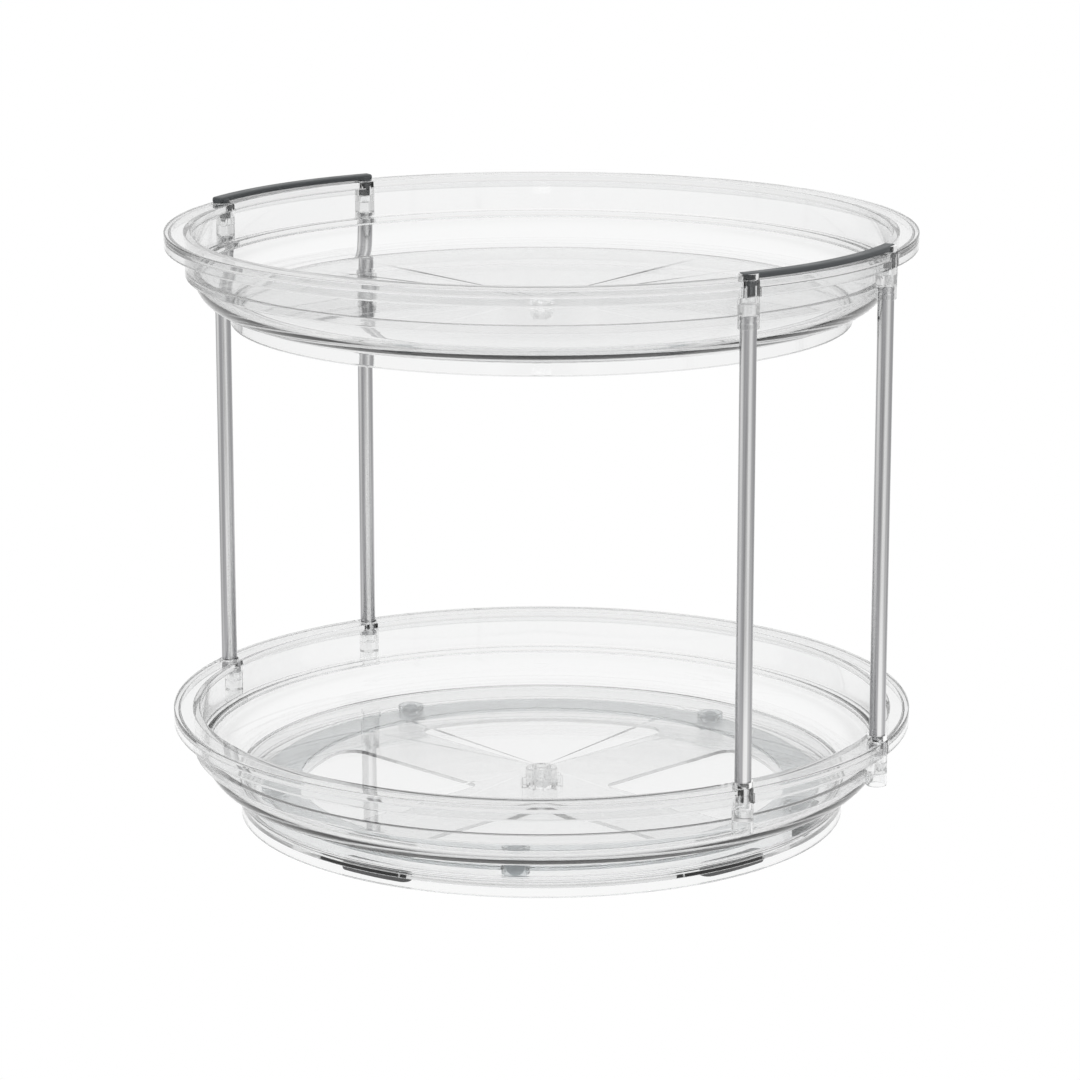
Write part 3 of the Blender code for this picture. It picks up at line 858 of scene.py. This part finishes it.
def make_camera():
    """The camera at the first view, level from side to side and pitched down."""
    camera = bpy.data.objects.new("camera", bpy.data.cameras.new("camera"))
    bpy.context.scene.collection.objects.link(camera)
    camera.location = (
        CAMERA_DISTANCE * math.sin(CAMERA_AZIMUTH),
        -CAMERA_DISTANCE * math.cos(CAMERA_AZIMUTH),
        CAMERA_HEIGHT,
    )
    camera.rotation_euler = (math.pi / 2 - CAMERA_PITCH, 0, CAMERA_AZIMUTH)
    camera.data.lens = CAMERA_LENS
    camera.data.sensor_width = 36
    camera.data.shift_x = CAMERA_SHIFT_X
    camera.data.clip_end = 50
    bpy.context.scene.camera = camera


def make_floor():
    """A pale floor that gives off light: white round the object, softly darker in front and beside it."""
    shape = bmesh.new()
    bmesh.ops.create_grid(shape, x_segments=2, y_segments=2, size=FLOOR_HALF_SIZE)
    floor = object_of(shape, "studio_floor")
    floor.location.z = -FLOOR_DROP
    made = Nodes(bpy.data.materials.new("studio_floor"))
    x, y, _ = made.towards_key(made.add("ShaderNodeTexCoord").outputs["Object"])
    across = made.math("ABSOLUTE", x)
    widening = made.math("MULTIPLY", made.math("MAXIMUM", y, 0.0), POOL_SPREAD)
    beside = made.math("SUBTRACT", across, widening)
    pool = made.fade(beside, POOL_HALF_WIDTH, POOL_HALF_WIDTH + POOL_EDGE, 1.0, FLOOR_SIDE)
    nearness = made.fade(made.math("MULTIPLY", y, -1.0), *FRONT_REACH, 0.0, 1.0)
    shade = made.math("MULTIPLY", nearness, made.fade(across, *FRONT_BREADTH, 1.0 - FLOOR_FRONT, 0.0))
    glow = made.math("MULTIPLY", pool, made.math("SUBTRACT", 1.0, shade))
    made.set(Base_Color=(0, 0, 0, 1), Roughness=1.0, Specular_IOR_Level=0.0)
    made.set(Emission_Color=(1, 1, 1, 1), Emission_Strength=glow)
    floor.data.materials.append(made.owner)


def make_strip_light():
    """A low strip light in front, out of the camera's sight, for the highlights on the upper walls."""
    light = bpy.data.lights.new("front_strip", "AREA")
    light.shape = "RECTANGLE"
    light.size, light.size_y = STRIP_SIZE
    light.energy = STRIP_RADIANCE * math.pi * light.size * light.size_y
    strip = bpy.data.objects.new("front_strip", light)
    strip.location = on_circle(STRIP_DISTANCE, KEY_AZIMUTH - math.pi / 2, STRIP_HEIGHT)
    strip.rotation_euler = (math.pi, 0, KEY_AZIMUTH)
    strip.visible_camera = False
    bpy.context.scene.collection.objects.link(strip)


def make_world():
    """A soft surround: a large bright overhead and front, a bright backdrop, and darker sides."""
    made = Nodes(bpy.data.worlds.new("studio"))
    bpy.context.scene.world = made.owner
    _, y, z = made.towards_key(made.add("ShaderNodeTexCoord").outputs["Generated"])
    backdrop = made.fade(y, *BACKDROP_FADE, SKY_SIDE, SKY_BACK)
    front = made.fade(made.math("MULTIPLY", y, -1.0), *FRONT_FADE, 0.0, SKY_FRONT - SKY_SIDE)
    low = made.math("ADD", backdrop, front)
    height = made.fade(z, *HORIZON_FADE, 0.0, 1.0)
    lowered = made.math("MULTIPLY", low, made.math("SUBTRACT", 1.0, height))
    high = made.math("MULTIPLY", made.fade(z, *OVERHEAD_FADE, SKY_HIGH, SKY_TOP), height)
    made.set("Background", Strength=made.math("ADD", lowered, high), Color=(1, 1, 1, 1))


def make_render_looks():
    """Plain colours, and enough bounces for light to pass through every clear wall."""
    scene = bpy.context.scene
    scene.view_settings.view_transform = "Standard"
    scene.cycles.max_bounces = 32
    scene.cycles.transmission_bounces = 32
    scene.cycles.glossy_bounces = 16
    scene.cycles.volume_bounces = 0


def main():
    make_camera()
    clear = clear_plastic()
    make_trays(clear)
    make_base(clear)
    make_rods(polished_steel())
    make_grips(grip_plastic())
    make_cage(cage_plastic())
    make_balls(ball_plastic())
    make_feet(foot_rubber())
    make_floor()
    make_world()
    make_strip_light()
    make_render_looks()


main()
